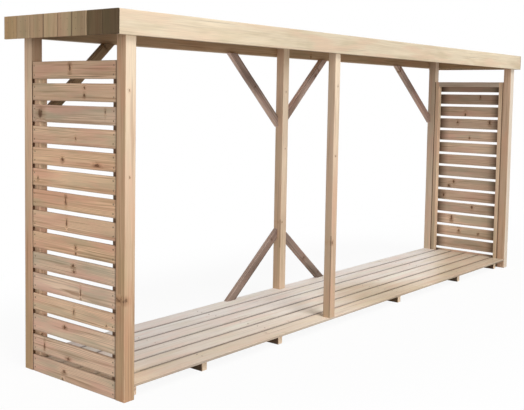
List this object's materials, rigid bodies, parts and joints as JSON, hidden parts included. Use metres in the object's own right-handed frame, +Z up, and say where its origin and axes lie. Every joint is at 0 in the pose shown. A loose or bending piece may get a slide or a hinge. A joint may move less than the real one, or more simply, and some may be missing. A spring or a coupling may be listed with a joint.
{
  "type": "log store",
  "caption": "Long open timber log store: square posts, slatted end panels, a boarded floor on bearers, braced back and a flat roof edged with fascia boards.",
  "frame": {"origin": "on the ground under the middle of the roof", "axes": "+X along the length to the right, +Y from the open front to the back, +Z up"},
  "size_m": [4.956, 0.954, 2],
  "materials": {
    "post_timber": "planed, treated softwood",
    "roof_timber": "planed, treated softwood",
    "fascia_timber": "planed, treated softwood",
    "slat_timber": "planed, treated softwood",
    "floor_timber": "planed, treated softwood",
    "brace_timber": "planed, treated softwood"
  },
  "bodies": {
    "root": {"front_left_post": "post_timber", "front_right_post": "post_timber", "back_left_post": "post_timber", "back_right_post": "post_timber", "front_middle_post": "post_timber", "back_middle_post": "post_timber", "front_beam": "roof_timber", "back_beam": "roof_timber", "left_end_rail": "roof_timber", "right_end_rail": "roof_timber", "roof_joists": "roof_timber", "roof_boards": "roof_timber", "front_fascia": "fascia_timber", "back_fascia": "fascia_timber", "left_end_boards": "fascia_timber", "right_end_boards": "fascia_timber", "left_slats": "slat_timber", "right_slats": "slat_timber", "left_front_stile": "slat_timber", "left_back_stile": "slat_timber", "right_front_stile": "slat_timber", "right_back_stile": "slat_timber", "left_top_rail": "slat_timber", "right_top_rail": "slat_timber", "left_bottom_rail": "slat_timber", "right_bottom_rail": "slat_timber", "floor_board_1": "floor_timber", "floor_board_2": "floor_timber", "floor_board_3": "floor_timber", "floor_board_4": "floor_timber", "floor_board_5": "floor_timber", "floor_board_6": "floor_timber", "bearer_1": "floor_timber", "bearer_2": "floor_timber", "bearer_3": "floor_timber", "bearer_4": "floor_timber", "bearer_5": "floor_timber", "bearer_6": "floor_timber", "left_brace": "brace_timber", "middle_upper_left_brace": "brace_timber", "middle_upper_right_brace": "brace_timber", "middle_lower_left_brace": "brace_timber", "middle_lower_right_brace": "brace_timber", "right_brace": "brace_timber"}
  },
  "joints": []
}
